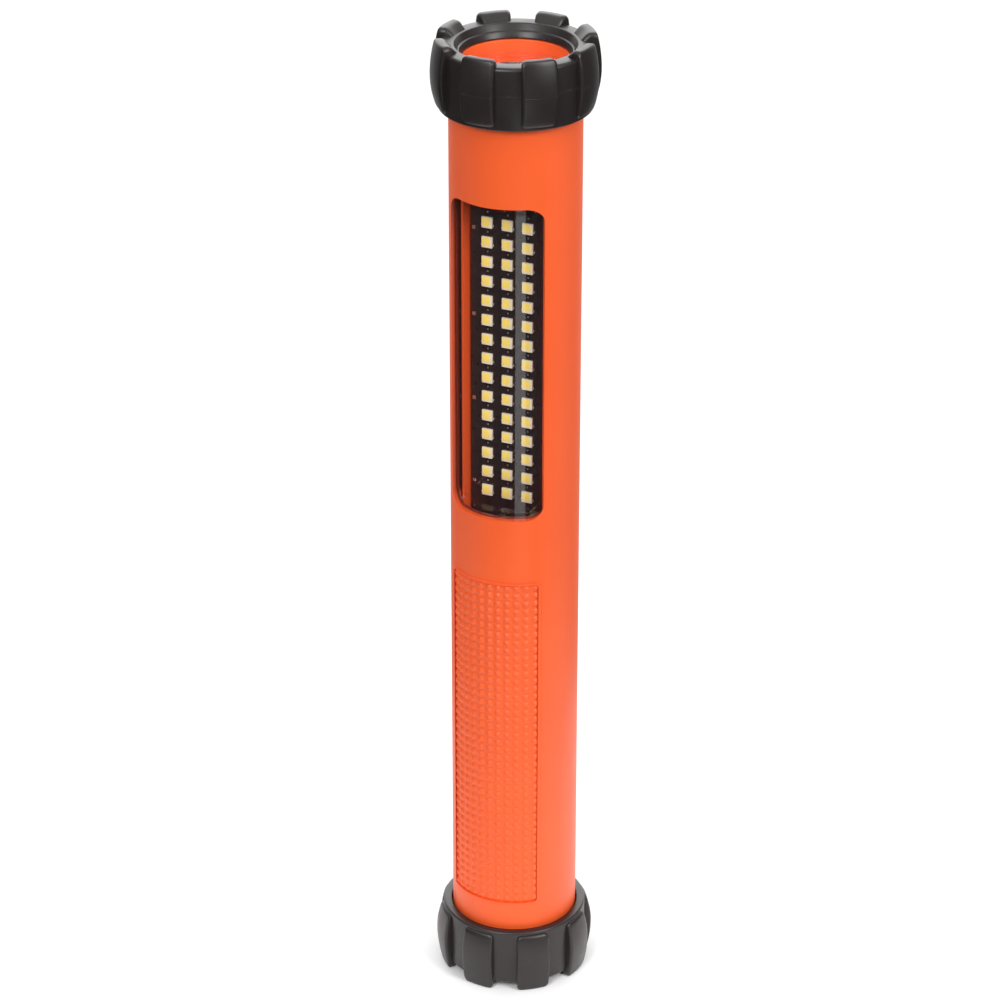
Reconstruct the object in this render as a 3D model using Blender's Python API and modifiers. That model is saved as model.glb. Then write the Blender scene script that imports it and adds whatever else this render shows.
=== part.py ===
"""A hand-held work and signal light: an orange tube with a flood window of fifteen by three LEDs in its
side, a torch in its top end, and a screw-on end with a castellated rubber bumper at each end.

Metres, +Z up. The light stands on the lug tips of its tail bumper, at z = 0, with its axis on Z.
The flood window faces -Y and the thumb switch faces +Y.
"""

import math

import bmesh
import bpy
from mathutils import Matrix, Vector

MM = 0.001

# Driving dimensions, in metres. Two D cells set the bore.
LENGTH = 317.5 * MM
TUBE_RADIUS = 20.0 * MM
TUBE_BORE = 17.0 * MM
TUBE_BOTTOM = 8.9 * MM
TUBE_TOP = 308.6 * MM
GAP = 0.3 * MM
SIDES = 64

CELL_RADIUS = 16.45 * MM
CELL_LENGTH = 61.5 * MM
CELLS_BOTTOM = 21.8 * MM

BUMPER_HEIGHT = 21.6 * MM
BAND_RADIUS = 23.1 * MM
LUG_RADIUS = 25.4 * MM
LUG_COUNT = 8
LUG_ANGLE = math.radians(27.0)
LUG_STEP = 2.3 * MM
LUG_ROUNDING = 0.9 * MM
HEAD_CLOCKING = math.radians(-4.4)
TAIL_CLOCKING = math.radians(-6.1)

WINDOW_HALF_WIDTH = 15.2 * MM
WINDOW_BOTTOM = 168.6 * MM
WINDOW_TOP = 270.6 * MM
WINDOW_CORNER = 4.5 * MM

PAD_HALF_WIDTH = 14.3 * MM
PAD_BOTTOM = 31.2 * MM
PAD_TOP = 146.5 * MM
PAD_CORNER = 1.2 * MM
PAD_DEPTH = 0.4 * MM

LED_ROWS = 15
LED_COLUMNS = 3
LED_ROW_PITCH = 6.34 * MM
LED_COLUMN_PITCH = 6.63 * MM
LED_CENTRE = 215.6 * MM
LED_WIDTH = 3.5 * MM
LED_HEIGHT = 3.5 * MM
LED_STAND = 0.8 * MM

SWITCH_Z = 162.0 * MM
SWITCH_HOLE_RADIUS = 8.3 * MM


for old in list(bpy.data.objects):
    bpy.data.objects.remove(old)


def new_collection(name):
    collection = bpy.data.collections.new(name)
    bpy.context.scene.collection.children.link(collection)
    return collection


LIGHT = new_collection("signal_light")
CUTTERS = new_collection("cutters")


# Finishes


def finish(name, colour, roughness, metallic=0.0, alpha=1.0):
    material = bpy.data.materials.new(name)
    material.use_nodes = True
    shader = material.node_tree.nodes["Principled BSDF"]
    shader.inputs["Base Color"].default_value = (*colour, 1.0)
    shader.inputs["Roughness"].default_value = roughness
    shader.inputs["Metallic"].default_value = metallic
    shader.inputs["Alpha"].default_value = alpha
    return material


ORANGE = finish("orange_plastic", (0.81, 0.12, 0.025), 0.45)
RUBBER = finish("black_rubber", (0.022, 0.018, 0.018), 0.6)
CLEAR = finish("clear_plastic", (0.95, 0.95, 0.95), 0.05, alpha=0.25)
SEAL = finish("dark_seal", (0.03, 0.015, 0.015), 0.5)
BLACK_BOARD = finish("black_board", (0.06, 0.03, 0.028), 0.35)
GREEN_BOARD = finish("green_board", (0.02, 0.18, 0.06), 0.4)
CHROME = finish("plated_reflector", (0.85, 0.85, 0.87), 0.08, metallic=1.0)
ALUMINIUM = finish("aluminium", (0.70, 0.71, 0.73), 0.35, metallic=1.0)
STEEL = finish("nickelled_steel", (0.60, 0.60, 0.58), 0.3, metallic=1.0)
BLACK_PLASTIC = finish("black_plastic", (0.03, 0.03, 0.03), 0.45)
CELL_WRAP = finish("cell_wrap", (0.12, 0.13, 0.16), 0.35)
RED_WIRE = finish("red_wire", (0.60, 0.03, 0.02), 0.5)
BLACK_WIRE = finish("black_wire", (0.02, 0.02, 0.02), 0.5)


# Ways of making a shape


def add_object(name, data, material=None, collection=LIGHT):
    obj = bpy.data.objects.new(name, data)
    collection.objects.link(obj)
    if material is not None:
        data.materials.append(material)
    if collection is CUTTERS:
        obj.hide_render = True
        obj.display_type = "WIRE"
    return obj


def mesh_object(name, shape, material=None, collection=LIGHT):
    mesh = bpy.data.meshes.new(name)
    shape.to_mesh(mesh)
    shape.free()
    return add_object(name, mesh, material, collection)


def turned(name, outline, material=None, collection=LIGHT, sides=SIDES):
    """A closed outline of (radius, height) points turned about Z. Its outer side runs downwards."""
    mesh = bpy.data.meshes.new(name)
    edges = [(i, i + 1) for i in range(len(outline) - 1)]
    starts_and_ends_on_axis = outline[0][0] == 0.0 and outline[-1][0] == 0.0
    if not starts_and_ends_on_axis:
        edges.append((len(outline) - 1, 0))
    mesh.from_pydata([(radius, 0.0, height) for radius, height in outline], edges, [])
    obj = add_object(name, mesh, material, collection)
    screw = obj.modifiers.new("turn", "SCREW")
    screw.steps = sides
    screw.render_steps = sides
    screw.use_merge_vertices = True
    screw.merge_threshold = 0.00001
    screw.use_smooth_shade = True
    return obj


def ring(name, outer, inner, bottom, top, material=None, collection=LIGHT, sides=SIDES):
    outline = [(outer, top), (outer, bottom), (inner, bottom), (inner, top)]
    return turned(name, outline, material, collection, sides)


def disc(name, radius, bottom, top, material=None, collection=LIGHT, sides=SIDES):
    outline = [(0.0, top), (radius, top), (radius, bottom), (0.0, bottom)]
    return turned(name, outline, material, collection, sides)


def o_ring(name, radius, section, height):
    points = 10
    outline = []
    for i in range(points):
        angle = -2 * math.pi * i / points
        outline.append((radius + section * math.cos(angle), height + section * math.sin(angle)))
    return turned(name, outline, RUBBER, sides=48)


def add_block(shape, low, high):
    """Add a box between two corners to a shape, and return its vertices."""
    low = Vector(low)
    high = Vector(high)
    made = bmesh.ops.create_cube(shape, size=1.0)["verts"]
    bmesh.ops.scale(shape, vec=high - low, verts=made)
    bmesh.ops.translate(shape, vec=(low + high) / 2, verts=made)
    return made


def blocks(name, corner_pairs, material=None, collection=LIGHT):
    shape = bmesh.new()
    for low, high in corner_pairs:
        add_block(shape, low, high)
    return mesh_object(name, shape, material, collection)


def add_bar(shape, radius, start, end, sides=16):
    """Add a round bar between two points to a shape."""
    start = Vector(start)
    end = Vector(end)
    along = end - start
    turn = along.to_track_quat("Z", "Y").to_matrix().to_4x4()
    place = Matrix.Translation((start + end) / 2) @ turn
    bmesh.ops.create_cone(
        shape, cap_ends=True, segments=sides, radius1=radius, radius2=radius, depth=along.length, matrix=place
    )


def bars(name, radius, ends, material=None, collection=LIGHT, sides=16):
    shape = bmesh.new()
    for start, end in ends:
        add_bar(shape, radius, start, end, sides)
    return mesh_object(name, shape, material, collection)


def boolean(obj, other, operation):
    modifier = obj.modifiers.new(operation.lower(), "BOOLEAN")
    modifier.operation = operation
    modifier.object = other


def rounded_prism(name, half_width, bottom, top, corner, low_y, high_y):
    """A cutter along Y with a rounded oblong outline."""
    shape = bmesh.new()
    add_block(shape, (-half_width, low_y, bottom), (half_width, high_y, top))
    along = [edge for edge in shape.edges if abs(edge.verts[0].co.y - edge.verts[1].co.y) > 1.0 * MM]
    bmesh.ops.bevel(shape, geom=along, offset=corner, segments=4, profile=0.5, affect="EDGES", material=-1)
    return mesh_object(name, shape, collection=CUTTERS)


def window_prism(name, margin):
    """A cutter with the window's outline, smaller than the window by the margin all round."""
    return rounded_prism(
        name,
        WINDOW_HALF_WIDTH - margin,
        WINDOW_BOTTOM + margin,
        WINDOW_TOP - margin,
        WINDOW_CORNER - margin,
        -30.0 * MM,
        0.0,
    )


# The tube: the window's opening, two shallow grip pads, the switch's hole, and a groove in the bore for
# the earth strip

STRIP_HALF_WIDTH = 2.0 * MM
STRIP_TOP = 151.0 * MM
STRIP_GROOVE_DEPTH = 0.8 * MM

tube = ring("body_tube", TUBE_RADIUS, TUBE_BORE, TUBE_BOTTOM, TUBE_TOP, ORANGE)

boolean(tube, window_prism("opening_outline", 0.0), "DIFFERENCE")

for side, low_y, high_y in (("front", -30.0 * MM, 0.0), ("back", 0.0, 30.0 * MM)):
    skin = ring(side + "_pad", 30.0 * MM, TUBE_RADIUS - PAD_DEPTH, 20.0 * MM, 160.0 * MM, collection=CUTTERS)
    outline = rounded_prism(
        side + "_pad_outline", PAD_HALF_WIDTH, PAD_BOTTOM, PAD_TOP, PAD_CORNER, low_y, high_y
    )
    boolean(skin, outline, "INTERSECT")
    boolean(tube, skin, "DIFFERENCE")

switch_hole = bars(
    "switch_hole",
    SWITCH_HOLE_RADIUS,
    [((0.0, 5.0 * MM, SWITCH_Z), (0.0, 30.0 * MM, SWITCH_Z))],
    collection=CUTTERS,
    sides=32,
)
boolean(tube, switch_hole, "DIFFERENCE")

groove_half_width = STRIP_HALF_WIDTH + 2 * GAP
groove_low = (10.0 * MM, -groove_half_width, 0.0)
groove_high = (TUBE_BORE + STRIP_GROOVE_DEPTH, groove_half_width, STRIP_TOP + GAP)
strip_groove = blocks("strip_groove", [(groove_low, groove_high)], collection=CUTTERS)
boolean(tube, strip_groove, "DIFFERENCE")


# The flood window: a curved clear cover whose edge lies over a thin seal, and whose skirt reaches past
# the seal into the tube

SEAL_MARGIN = 0.2 * MM
SEAL_WALL = 0.4 * MM
SEAL_OUTER_RADIUS = 18.3 * MM
SEAL_INNER_RADIUS = 17.5 * MM
SKIRT_MARGIN = SEAL_MARGIN + SEAL_WALL + 0.2 * MM
COVER_OUTER_RADIUS = 19.9 * MM
COVER_INNER_RADIUS = 18.65 * MM
SKIRT_WALL = 1.5 * MM
SKIRT_END_RADIUS = 16.9 * MM
WINDOW_SPAN = (150.0 * MM, 290.0 * MM)

gasket = ring("window_gasket", SEAL_OUTER_RADIUS, SEAL_INNER_RADIUS, *WINDOW_SPAN, SEAL)
boolean(gasket, window_prism("gasket_outline", SEAL_MARGIN), "INTERSECT")
boolean(gasket, window_prism("gasket_opening", SEAL_MARGIN + SEAL_WALL), "DIFFERENCE")

cover = ring("window_lens", COVER_OUTER_RADIUS, COVER_INNER_RADIUS, *WINDOW_SPAN, CLEAR)
boolean(cover, window_prism("cover_outline", GAP), "INTERSECT")
skirt = ring("skirt", COVER_INNER_RADIUS + 0.3 * MM, SKIRT_END_RADIUS, *WINDOW_SPAN, collection=CUTTERS)
boolean(skirt, window_prism("skirt_outline", SKIRT_MARGIN), "INTERSECT")
boolean(skirt, window_prism("skirt_opening", SKIRT_MARGIN + SKIRT_WALL), "DIFFERENCE")
boolean(cover, skirt, "UNION")


# The flood lamp: an orange trough that opens towards the window, with the LED board in it

TRAY_BOTTOM = 153.0 * MM
TRAY_TOP = 274.0 * MM
TRAY_FLOOR_FACE = -3.7 * MM
TRAY_FLOOR_BACK = -1.1 * MM
TRAY_LIP = -9.2 * MM
TRAY_FLOOR_HALF_WIDTH = 12.5 * MM
TRAY_LIP_HALF_WIDTH = 13.0 * MM
TRAY_WALL = 0.8 * MM
BOARD_HALF_WIDTH = 12.2 * MM
BOARD_FACE = -5.6 * MM
BOARD_BACK = -4.0 * MM
BOARD_BOTTOM = 162.5 * MM
BOARD_TOP = 269.3 * MM
TRAY_SCREWS = [(x, z) for z in (157.8 * MM, 271.6 * MM) for x in (-7.0 * MM, 7.0 * MM)]

half_section = [
    (TRAY_LIP_HALF_WIDTH, TRAY_LIP),
    (TRAY_LIP_HALF_WIDTH + TRAY_WALL, TRAY_LIP),
    (TRAY_FLOOR_HALF_WIDTH + TRAY_WALL, TRAY_FLOOR_BACK),
]
floor_corner = [(TRAY_FLOOR_HALF_WIDTH, TRAY_FLOOR_FACE)]
right_side = floor_corner + half_section
left_side = [(-x, y) for x, y in reversed(right_side)]
section = bmesh.new()
corners = [section.verts.new((x, y, TRAY_BOTTOM)) for x, y in right_side + left_side]
floor = section.faces.new(corners)
grown = bmesh.ops.extrude_face_region(section, geom=[floor])
top_corners = [item for item in grown["geom"] if isinstance(item, bmesh.types.BMVert)]
bmesh.ops.translate(section, vec=(0.0, 0.0, TRAY_TOP - TRAY_BOTTOM), verts=top_corners)
bmesh.ops.recalc_face_normals(section, faces=section.faces)
tray = mesh_object("led_tray", section, ORANGE)

led_board = blocks(
    "led_board",
    [((-BOARD_HALF_WIDTH, BOARD_FACE, BOARD_BOTTOM), (BOARD_HALF_WIDTH, BOARD_BACK, BOARD_TOP))],
    BLACK_BOARD,
)
packages = []
for row in range(LED_ROWS):
    for column in range(LED_COLUMNS):
        x = (column - (LED_COLUMNS - 1) / 2) * LED_COLUMN_PITCH
        z = LED_CENTRE + (row - (LED_ROWS - 1) / 2) * LED_ROW_PITCH
        low = (x - LED_WIDTH / 2, BOARD_FACE - LED_STAND, z - LED_HEIGHT / 2)
        high = (x + LED_WIDTH / 2, BOARD_FACE + 0.5 * MM, z + LED_HEIGHT / 2)
        packages.append((low, high))
boolean(led_board, blocks("led_packages", packages, collection=CUTTERS), "UNION")


# Behind the trough: a heat spreader, and the chassis whose spine joins an end plate at each end

SPINE_FACE = 1.0 * MM
SPINE_BACK = 2.6 * MM
PLATE_RADIUS = 16.7 * MM
LOWER_PLATE = (149.5 * MM, 152.0 * MM)
UPPER_PLATE = (274.4 * MM, 276.9 * MM)
LEAD_X = 4.0 * MM
LEAD_Y = 6.8 * MM
LEAD_HOLE_RADIUS = 1.2 * MM

blocks(
    "heat_spreader",
    [((-11.0 * MM, -0.8 * MM, 165.0 * MM), (11.0 * MM, 0.7 * MM, 268.0 * MM))],
    ALUMINIUM,
)

chassis = disc("chassis", PLATE_RADIUS, *LOWER_PLATE, BLACK_PLASTIC, sides=48)
boolean(chassis, disc("upper_plate", PLATE_RADIUS, *UPPER_PLATE, collection=CUTTERS, sides=48), "UNION")
spine = blocks(
    "spine",
    [((-9.0 * MM, SPINE_FACE, LOWER_PLATE[0] + 1.0 * MM), (9.0 * MM, SPINE_BACK, UPPER_PLATE[1] - 1.0 * MM))],
    collection=CUTTERS,
)
boolean(chassis, spine, "UNION")

screw_holes = bars(
    "tray_screw_holes",
    1.3 * MM,
    [((x, -5.0 * MM, z), (x, 5.0 * MM, z)) for x, z in TRAY_SCREWS],
    collection=CUTTERS,
)
lead_holes = bars(
    "lead_holes",
    LEAD_HOLE_RADIUS,
    [((x, LEAD_Y, 272.0 * MM), (x, LEAD_Y, 292.0 * MM)) for x in (-LEAD_X, LEAD_X)],
    collection=CUTTERS,
)
boolean(tray, screw_holes, "DIFFERENCE")
boolean(chassis, screw_holes, "DIFFERENCE")
boolean(chassis, lead_holes, "DIFFERENCE")

for number, (x, z) in enumerate(TRAY_SCREWS, start=1):
    head_face = TRAY_FLOOR_FACE - GAP
    shank_ends = ((x, head_face - 0.5 * MM, z), (x, 3.6 * MM, z))
    tray_screw = bars("tray_screw_%d" % number, 1.0 * MM, [shank_ends], STEEL)
    head = bars(
        "tray_screw_head_%d" % number,
        1.7 * MM,
        [((x, head_face - 1.2 * MM, z), (x, head_face, z))],
        collection=CUTTERS,
    )
    boolean(tray_screw, head, "UNION")


# The driver board and its tall parts, with the switch block that the button presses

DRIVER_FACE = 6.0 * MM
DRIVER_BACK = 7.6 * MM
DRIVER_BOTTOM = 153.0 * MM
DRIVER_TOP = 262.0 * MM
PLUNGER_TOP = 12.2 * MM

driver_board = blocks(
    "driver_board",
    [((-10.0 * MM, DRIVER_FACE, DRIVER_BOTTOM), (10.0 * MM, DRIVER_BACK, DRIVER_TOP))],
    GREEN_BOARD,
)
part_root = DRIVER_BACK - 0.5 * MM
tall_parts = blocks(
    "tall_parts",
    [
        ((-5.0 * MM, part_root, 186.0 * MM), (5.0 * MM, DRIVER_BACK + 4.2 * MM, 196.0 * MM)),
        ((-2.5 * MM, part_root, 203.0 * MM), (2.5 * MM, DRIVER_BACK + 1.6 * MM, 208.0 * MM)),
        ((-6.0 * MM, part_root, 214.0 * MM), (-2.0 * MM, DRIVER_BACK + 1.8 * MM, 220.0 * MM)),
        ((2.0 * MM, part_root, 214.0 * MM), (6.0 * MM, DRIVER_BACK + 1.8 * MM, 220.0 * MM)),
    ],
    collection=CUTTERS,
)
capacitors = bars(
    "capacitors",
    3.2 * MM,
    [((x, part_root, 232.0 * MM), (x, DRIVER_BACK + 5.4 * MM, 232.0 * MM)) for x in (-4.5 * MM, 4.5 * MM)],
    collection=CUTTERS,
)
boolean(driver_board, tall_parts, "UNION")
boolean(driver_board, capacitors, "UNION")

switch_block = blocks(
    "switch_block",
    [((-3.0 * MM, DRIVER_BACK + GAP, SWITCH_Z - 3.0 * MM), (3.0 * MM, 11.2 * MM, SWITCH_Z + 3.0 * MM))],
    BLACK_PLASTIC,
)
plunger = bars(
    "plunger",
    1.7 * MM,
    [((0.0, 10.0 * MM, SWITCH_Z), (0.0, PLUNGER_TOP, SWITCH_Z))],
    collection=CUTTERS,
)
boolean(switch_block, plunger, "UNION")


# The thumb switch: a retaining ring in the tube's hole, and a domed button held behind it by a flange

BUTTON_RADIUS = 6.1 * MM
BUTTON_FACE = 21.9 * MM
BEZEL_RADIUS = SWITCH_HOLE_RADIUS - GAP
BEZEL_FACE = 20.9 * MM
BEZEL_BACK = 14.6 * MM


def turned_on_switch_axis(name, outline, material):
    """An outline of (radius, distance from the light's axis), turned about the switch's own axis."""
    obj = turned(name, outline, material, sides=32)
    obj.rotation_euler.x = -math.pi / 2
    obj.location.z = SWITCH_Z


turned_on_switch_axis(
    "switch_bezel",
    [
        (BEZEL_RADIUS - 0.6 * MM, BEZEL_FACE),
        (BEZEL_RADIUS, BEZEL_FACE - 0.6 * MM),
        (BEZEL_RADIUS, BEZEL_BACK),
        (BUTTON_RADIUS + GAP, BEZEL_BACK),
        (BUTTON_RADIUS + GAP, BEZEL_FACE),
    ],
    BLACK_PLASTIC,
)
turned_on_switch_axis(
    "switch_button",
    [
        (0.0, BUTTON_FACE),
        (3.4 * MM, BUTTON_FACE - 0.15 * MM),
        (5.4 * MM, BUTTON_FACE - 0.6 * MM),
        (BUTTON_RADIUS, BUTTON_FACE - 1.3 * MM),
        (BUTTON_RADIUS, BEZEL_BACK - GAP),
        (BUTTON_RADIUS + 1.3 * MM, BEZEL_BACK - GAP),
        (BUTTON_RADIUS + 1.3 * MM, BEZEL_BACK - 1.1 * MM),
        (0.0, BEZEL_BACK - 1.1 * MM),
    ],
    RUBBER,
)


# The castellated bumpers: a band with lugs that stand proud of it and past its rim

BAND_BORE = TUBE_RADIUS + GAP
FLANGE_RADIUS = 21.4 * MM
FLANGE_GROOVE_RADIUS = FLANGE_RADIUS + GAP
MOUTH_RADIUS = 18.3 * MM


def add_lug(shape, azimuth, slope_end):
    """Add one lug, centred on an azimuth, with its tip at z = 0 and its inner side buried in the band.
    Inside its flat tip the lug slopes down to slope_end, a (radius, height) point below the rim."""
    outline = [
        (22.2 * MM, 20.4 * MM),
        (23.7 * MM, 20.4 * MM),
        (24.8 * MM, 16.5 * MM),
        (LUG_RADIUS, 11.0 * MM),
        (24.9 * MM, 5.0 * MM),
        (23.9 * MM, 0.0),
        (21.4 * MM, 0.0),
        slope_end,
        (22.2 * MM, 2.9 * MM),
    ]
    steps = 4
    slices = []
    for step in range(steps + 1):
        angle = azimuth + LUG_ANGLE * (step / steps - 0.5)
        slices.append([
            shape.verts.new((radius * math.sin(angle), -radius * math.cos(angle), height))
            for radius, height in outline
        ])
    count = len(outline)
    walls = []
    for near, far in zip(slices, slices[1:]):
        for i in range(count):
            j = (i + 1) % count
            walls.append(shape.faces.new((near[i], near[j], far[j], far[i])))
    ends = [shape.faces.new(slices[0]), shape.faces.new(slices[-1])]
    bmesh.ops.recalc_face_normals(shape, faces=walls + ends)
    outside = []
    for points in (slices[0], slices[-1]):
        for i in range(1, 6):
            outside.append(shape.edges.get((points[i], points[i + 1])))
    bmesh.ops.bevel(
        shape, geom=outside, offset=LUG_ROUNDING, segments=2, profile=0.5, affect="EDGES", material=-1
    )


def bumper(name, slope_end, inside):
    """A bumper with its tips at z = 0. The outline inside runs from its mouth up to its bore."""
    band = turned(
        name,
        [
            (BAND_RADIUS - 0.6 * MM, BUMPER_HEIGHT),
            (BAND_RADIUS, BUMPER_HEIGHT - 0.6 * MM),
            (BAND_RADIUS, 4.2 * MM),
            (BAND_RADIUS - 0.4 * MM, 3.0 * MM),
            (BAND_RADIUS - 1.1 * MM, LUG_STEP),
        ] + inside,
        RUBBER,
    )
    shape = bmesh.new()
    for i in range(LUG_COUNT):
        add_lug(shape, 2 * math.pi * i / LUG_COUNT, slope_end)
    lugs = mesh_object(name + "_lugs", shape, collection=CUTTERS)
    boolean(band, lugs, "UNION")
    return band, lugs


head_bumper_pieces = bumper(
    "head_bumper",
    (18.1 * MM, 3.3 * MM),
    [
        (MOUTH_RADIUS, LUG_STEP),
        (15.7 * MM, 6.4 * MM),
        (FLANGE_GROOVE_RADIUS, 6.4 * MM),
        (FLANGE_GROOVE_RADIUS, 8.9 * MM),
        (BAND_BORE, 8.9 * MM),
        (BAND_BORE, BUMPER_HEIGHT),
    ],
)
for piece in head_bumper_pieces:
    piece.rotation_euler = (math.pi, 0.0, HEAD_CLOCKING)
    piece.location.z = LENGTH

tail_bumper_pieces = bumper(
    "tail_bumper",
    (18.6 * MM, 2.8 * MM),
    [
        (MOUTH_RADIUS, LUG_STEP),
        (MOUTH_RADIUS, 3.1 * MM),
        (FLANGE_GROOVE_RADIUS, 3.1 * MM),
        (FLANGE_GROOVE_RADIUS, 8.7 * MM),
        (BAND_BORE, 8.7 * MM),
        (BAND_BORE, BUMPER_HEIGHT),
    ],
)
for piece in tail_bumper_pieces:
    piece.rotation_euler.z = TAIL_CLOCKING


# The torch in the top end. Heights in this section are depths below the lug tips.

SPIGOT_RADIUS = 16.7 * MM
SEAL_GROOVE_RADIUS = 15.2 * MM
SEAL_RADIUS = 16.15 * MM
SEAL_SECTION = 0.65 * MM
REFLECTOR_RIM = 12.3 * MM
REFLECTOR_BASE = 28.6 * MM
REFLECTOR_WALL = 0.8 * MM
EMITTER_FACE = 28.9 * MM
EMITTER_BACK = 30.5 * MM
SINK_FACE = 30.8 * MM
SINK_BACK = 40.0 * MM


def from_top(outline):
    return [(radius, LENGTH - depth) for radius, depth in outline]


turned(
    "head_bezel",
    from_top([
        (15.6 * MM, 6.7 * MM),
        (FLANGE_RADIUS, 6.7 * MM),
        (FLANGE_RADIUS, 8.6 * MM),
        (SPIGOT_RADIUS, 8.6 * MM),
        (SPIGOT_RADIUS, 13.5 * MM),
        (SEAL_GROOVE_RADIUS, 13.5 * MM),
        (SEAL_GROOVE_RADIUS, 15.5 * MM),
        (SPIGOT_RADIUS, 15.5 * MM),
        (SPIGOT_RADIUS, 19.6 * MM),
        (13.2 * MM, 19.6 * MM),
        (13.2 * MM, 12.1 * MM),
        (15.6 * MM, 12.1 * MM),
    ]),
    ORANGE,
)
o_ring("head_seal", SEAL_RADIUS, SEAL_SECTION, LENGTH - 14.5 * MM)
disc("torch_lens", 15.3 * MM, LENGTH - 11.8 * MM, LENGTH - 9.8 * MM, CLEAR)

bowl = []
bowl_steps = 8
throat_radius = 3.4 * MM
rim_radius = 12.0 * MM
for i in range(bowl_steps + 1):
    radius = throat_radius + (rim_radius - throat_radius) * i / bowl_steps
    rise = (radius ** 2 - throat_radius ** 2) / (rim_radius ** 2 - throat_radius ** 2)
    bowl.append((radius, REFLECTOR_BASE - (REFLECTOR_BASE - REFLECTOR_RIM) * rise))
shell_outside = [(radius + REFLECTOR_WALL, depth) for radius, depth in reversed(bowl)]
turned("torch_reflector", from_top(shell_outside + bowl), CHROME, sides=48)

emitter = disc("torch_emitter", 9.0 * MM, LENGTH - EMITTER_BACK, LENGTH - EMITTER_FACE, BLACK_BOARD, sides=32)
dome = turned(
    "emitter_dome",
    from_top([
        (0.0, EMITTER_FACE - 2.4 * MM),
        (1.3 * MM, EMITTER_FACE - 2.0 * MM),
        (2.2 * MM, EMITTER_FACE - 1.0 * MM),
        (2.4 * MM, EMITTER_FACE + 0.5 * MM),
        (0.0, EMITTER_FACE + 0.5 * MM),
    ]),
    collection=CUTTERS,
    sides=24,
)
boolean(emitter, dome, "UNION")

sink = disc("torch_heat_sink", 16.6 * MM, LENGTH - SINK_BACK, LENGTH - SINK_FACE, ALUMINIUM, sides=48)
boolean(sink, lead_holes, "DIFFERENCE")

for name, x, colour in (("torch_lead_red", -LEAD_X, RED_WIRE), ("torch_lead_black", LEAD_X, BLACK_WIRE)):
    lead_bottom = DRIVER_TOP + GAP
    lead_top = LENGTH - EMITTER_BACK - GAP
    bars(name, 0.7 * MM, [((x, LEAD_Y, lead_bottom), (x, LEAD_Y, lead_top))], colour, sides=12)


# The battery bay: two D cells under the front contact, and the earth strip beside them

CELLS_TOP = CELLS_BOTTOM + 2 * CELL_LENGTH + GAP
CONTACT_THICKNESS = 0.8 * MM


def make_cell(name, bottom):
    nub_radius = 4.7 * MM
    nub_height = 1.5 * MM
    edge = 0.8 * MM
    top = bottom + CELL_LENGTH
    turned(
        name,
        [
            (0.0, top),
            (nub_radius, top),
            (nub_radius, top - nub_height),
            (CELL_RADIUS - edge, top - nub_height),
            (CELL_RADIUS, top - nub_height - edge),
            (CELL_RADIUS, bottom + edge),
            (CELL_RADIUS - edge, bottom),
            (0.0, bottom),
        ],
        CELL_WRAP,
        sides=48,
    )


make_cell("cell_lower", CELLS_BOTTOM)
make_cell("cell_upper", CELLS_BOTTOM + CELL_LENGTH + GAP)

contact_bottom = CELLS_TOP + GAP
insulator_bottom = contact_bottom + CONTACT_THICKNESS + GAP
disc("battery_contact", 6.0 * MM, contact_bottom, contact_bottom + CONTACT_THICKNESS, STEEL, sides=32)
disc("contact_insulator", 16.6 * MM, insulator_bottom, LOWER_PLATE[0] - GAP, BLACK_PLASTIC, sides=48)
blocks(
    "earth_strip",
    [((TUBE_BORE, -STRIP_HALF_WIDTH, 22.0 * MM), (TUBE_BORE + 0.5 * MM, STRIP_HALF_WIDTH, STRIP_TOP))],
    STEEL,
)


# The tail: a screw-in cap with its seal, its contact and the spring that presses the cells forward

CAP_BOTTOM = 3.4 * MM
CAP_SHOULDER = 8.4 * MM
CAP_TOP = 20.0 * MM
CAP_BORE = 13.5 * MM
CAP_GROOVE = (10.1 * MM, 12.1 * MM)

turned(
    "tail_cap",
    [
        (CAP_BORE, CAP_TOP),
        (SPIGOT_RADIUS, CAP_TOP),
        (SPIGOT_RADIUS, CAP_GROOVE[1]),
        (SEAL_GROOVE_RADIUS, CAP_GROOVE[1]),
        (SEAL_GROOVE_RADIUS, CAP_GROOVE[0]),
        (SPIGOT_RADIUS, CAP_GROOVE[0]),
        (SPIGOT_RADIUS, CAP_SHOULDER),
        (FLANGE_RADIUS, CAP_SHOULDER),
        (FLANGE_RADIUS, CAP_BOTTOM),
        (0.0, CAP_BOTTOM),
        (0.0, CAP_SHOULDER),
        (CAP_BORE, CAP_SHOULDER),
    ],
    BLACK_PLASTIC,
)
o_ring("tail_seal", SEAL_RADIUS, SEAL_SECTION, sum(CAP_GROOVE) / 2)

plate_bottom = CAP_SHOULDER + GAP
plate_top = plate_bottom + CONTACT_THICKNESS
disc("tail_contact", 12.5 * MM, plate_bottom, plate_top, STEEL, sides=32)

wire = 0.6 * MM
spring_turns = 4
points_per_turn = 14
spring_bottom = plate_top + GAP + wire
spring_top = CELLS_BOTTOM - GAP - wire
coil = bpy.data.curves.new("tail_spring", "CURVE")
coil.dimensions = "3D"
coil.bevel_depth = wire
coil.bevel_resolution = 1
coil.use_fill_caps = True
line = coil.splines.new("POLY")
steps = spring_turns * points_per_turn
line.points.add(steps)
for i, point in enumerate(line.points):
    share = i / steps
    angle = 2 * math.pi * spring_turns * share
    radius = (11.0 - 6.0 * share) * MM
    height = spring_bottom + (spring_top - spring_bottom) * share
    point.co = (radius * math.cos(angle), radius * math.sin(angle), height, 1.0)
add_object("tail_spring", coil, STEEL)
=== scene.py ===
import math

import bmesh
import bpy
from mathutils import Matrix, Vector


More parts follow.
